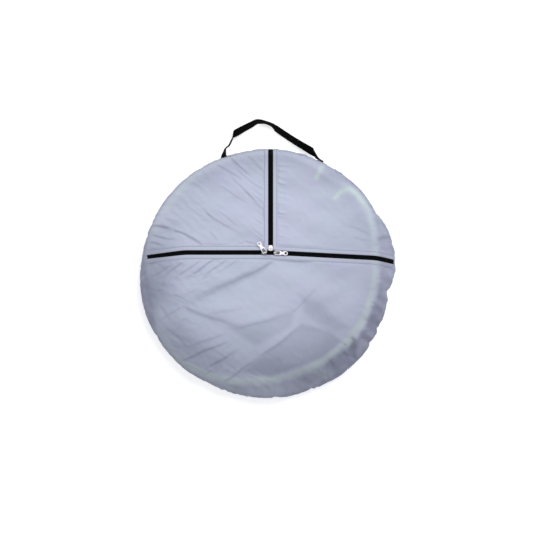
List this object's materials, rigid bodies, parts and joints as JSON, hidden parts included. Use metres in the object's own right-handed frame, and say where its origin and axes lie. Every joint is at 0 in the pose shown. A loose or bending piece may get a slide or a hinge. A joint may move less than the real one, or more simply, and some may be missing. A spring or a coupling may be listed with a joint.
{
  "type": "collapsible reflector disc in carry bag",
  "caption": "Collapsible photographic reflector packed in its round zipped fabric carry bag, with coil zips in a T across the face, slide-and-flip pullers and a webbing carry handle.",
  "frame": {"origin": "centre of the back panel's outer face, in the plane that the bag rests on", "axes": "+Z out of the zipped face, +Y towards the carry handle, +X to the right when the zipped face is seen with the handle at the top"},
  "size_m": [0.476, 0.5293, 0.0675],
  "materials": {
    "bag_nylon": "pale lavender-grey thin woven nylon, slightly translucent, soft sheen",
    "zip_tape": "black woven polyester tape, matt",
    "zip_coil": "black nylon coil, faint gloss",
    "zip_metal": "bright nickel-plated zinc",
    "webbing": "black woven polypropylene webbing, matt",
    "spring_steel": "blued flat spring steel",
    "ferrule_steel": "plain crimped steel",
    "sleeve_binding": "light green folded binding tape, matt",
    "reflector_fabric": "white and silver reflector cloth, satin"
  },
  "bodies": {
    "bag": {"back_panel": "bag_nylon", "side_gusset": "bag_nylon", "front_lower_panel": "bag_nylon", "front_upper_left_panel": "bag_nylon", "front_upper_right_panel": "bag_nylon", "cross_zip_lower_tape": "zip_tape", "cross_zip_upper_left_tape": "zip_tape", "cross_zip_upper_right_tape": "zip_tape", "top_zip_left_tape": "zip_tape", "top_zip_right_tape": "zip_tape", "cross_zip_lower_teeth": "zip_coil", "cross_zip_upper_left_teeth": "zip_coil", "cross_zip_upper_right_teeth": "zip_coil", "top_zip_left_teeth": "zip_coil", "top_zip_right_teeth": "zip_coil", "left_end_stop": "zip_coil", "right_end_stop": "zip_coil", "top_end_stop": "zip_coil", "left_handle_root": "webbing", "right_handle_root": "webbing", "left_handle_patch": "webbing", "right_handle_patch": "webbing", "spring_hoop": "spring_steel", "hoop_ferrule": "ferrule_steel", "hoop_sleeve": "sleeve_binding", "reflector_cloth": "reflector_fabric"},
    "handle": {"handle_webbing": "webbing"},
    "left_slider": {"left_slider_body": "zip_metal", "left_slider_crown": "zip_metal"},
    "left_pull": {"left_pull_tab": "zip_metal"},
    "right_slider": {"right_slider_body": "zip_metal", "right_slider_crown": "zip_metal"},
    "right_pull": {"right_pull_tab": "zip_metal"},
    "top_slider": {"top_slider_body": "zip_metal", "top_slider_crown": "zip_metal"},
    "top_pull": {"top_pull_tab": "zip_metal"}
  },
  "joints": [
    {"name": "handle_swing", "type": "hinge", "parent": "bag", "child": "handle", "pos_m": [0.0082, 0.22353, 0.028], "axis": [0.9993, -0.0366, 0], "range_deg": [0, 110]},
    {"name": "left_slider_travel", "type": "slide", "parent": "bag", "child": "left_slider", "axis": [-1, 0, 0], "range_m": [0, 0.145]},
    {"name": "right_slider_travel", "type": "slide", "parent": "bag", "child": "right_slider", "axis": [0.9986, -0.0523, 0], "range_m": [0, 0.18]},
    {"name": "top_slider_travel", "type": "slide", "parent": "bag", "child": "top_slider", "axis": [0, 1, 0], "range_m": [0, 0.17]},
    {"name": "left_pull_flip", "type": "hinge", "parent": "left_slider", "child": "left_pull", "pos_m": [-0.0054, 0.039, 0.0436], "axis": [0.829, 0.5592, 0], "range_deg": [0, 90]},
    {"name": "right_pull_flip", "type": "hinge", "parent": "right_slider", "child": "right_pull", "pos_m": [0.01369, 0.03855, 0.0436], "axis": [-0.0523, -0.9986, 0], "range_deg": [0, 90]},
    {"name": "top_pull_flip", "type": "hinge", "parent": "top_slider", "child": "top_pull", "pos_m": [0.005, 0.0456, 0.0436], "axis": [-1, 0, 0], "range_deg": [0, 90]}
  ]
}
